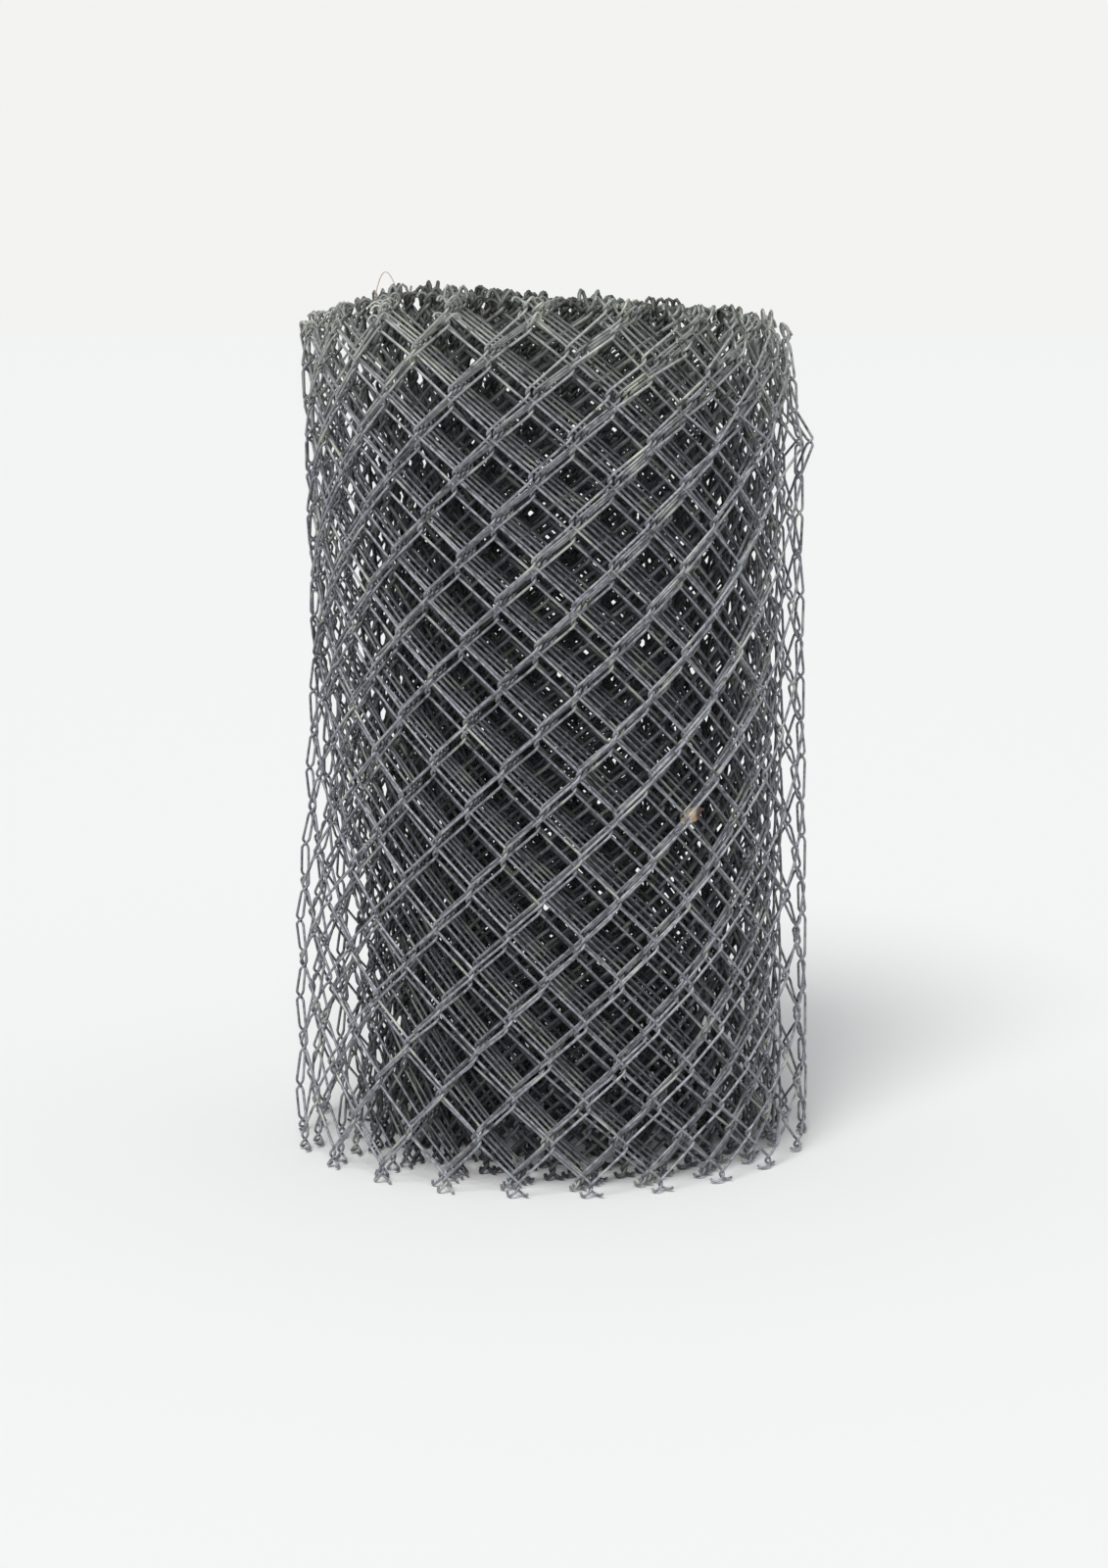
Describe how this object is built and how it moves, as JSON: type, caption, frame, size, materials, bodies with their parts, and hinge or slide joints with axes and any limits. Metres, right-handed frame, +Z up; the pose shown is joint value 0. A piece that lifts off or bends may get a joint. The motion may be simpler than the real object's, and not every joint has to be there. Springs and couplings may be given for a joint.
{
  "type": "roll of wire fencing",
  "caption": "Standing roll of galvanised diamond-mesh wire fencing, many loose turns around an open bore.",
  "frame": {"origin": "on the axis of the bore, at the bottom end of the roll, where it stands on the floor", "axes": "+Z up along the axis of the roll; -Y faces the viewer of the picture; the free edge of the sheet is 45 degrees anticlockwise of +X"},
  "size_m": [0.4799, 0.4713, 0.8],
  "materials": {
    "galvanised_wire": "dull weathered zinc coating"
  },
  "bodies": {
    "root": {"fence_roll": "galvanised_wire"}
  },
  "joints": []
}
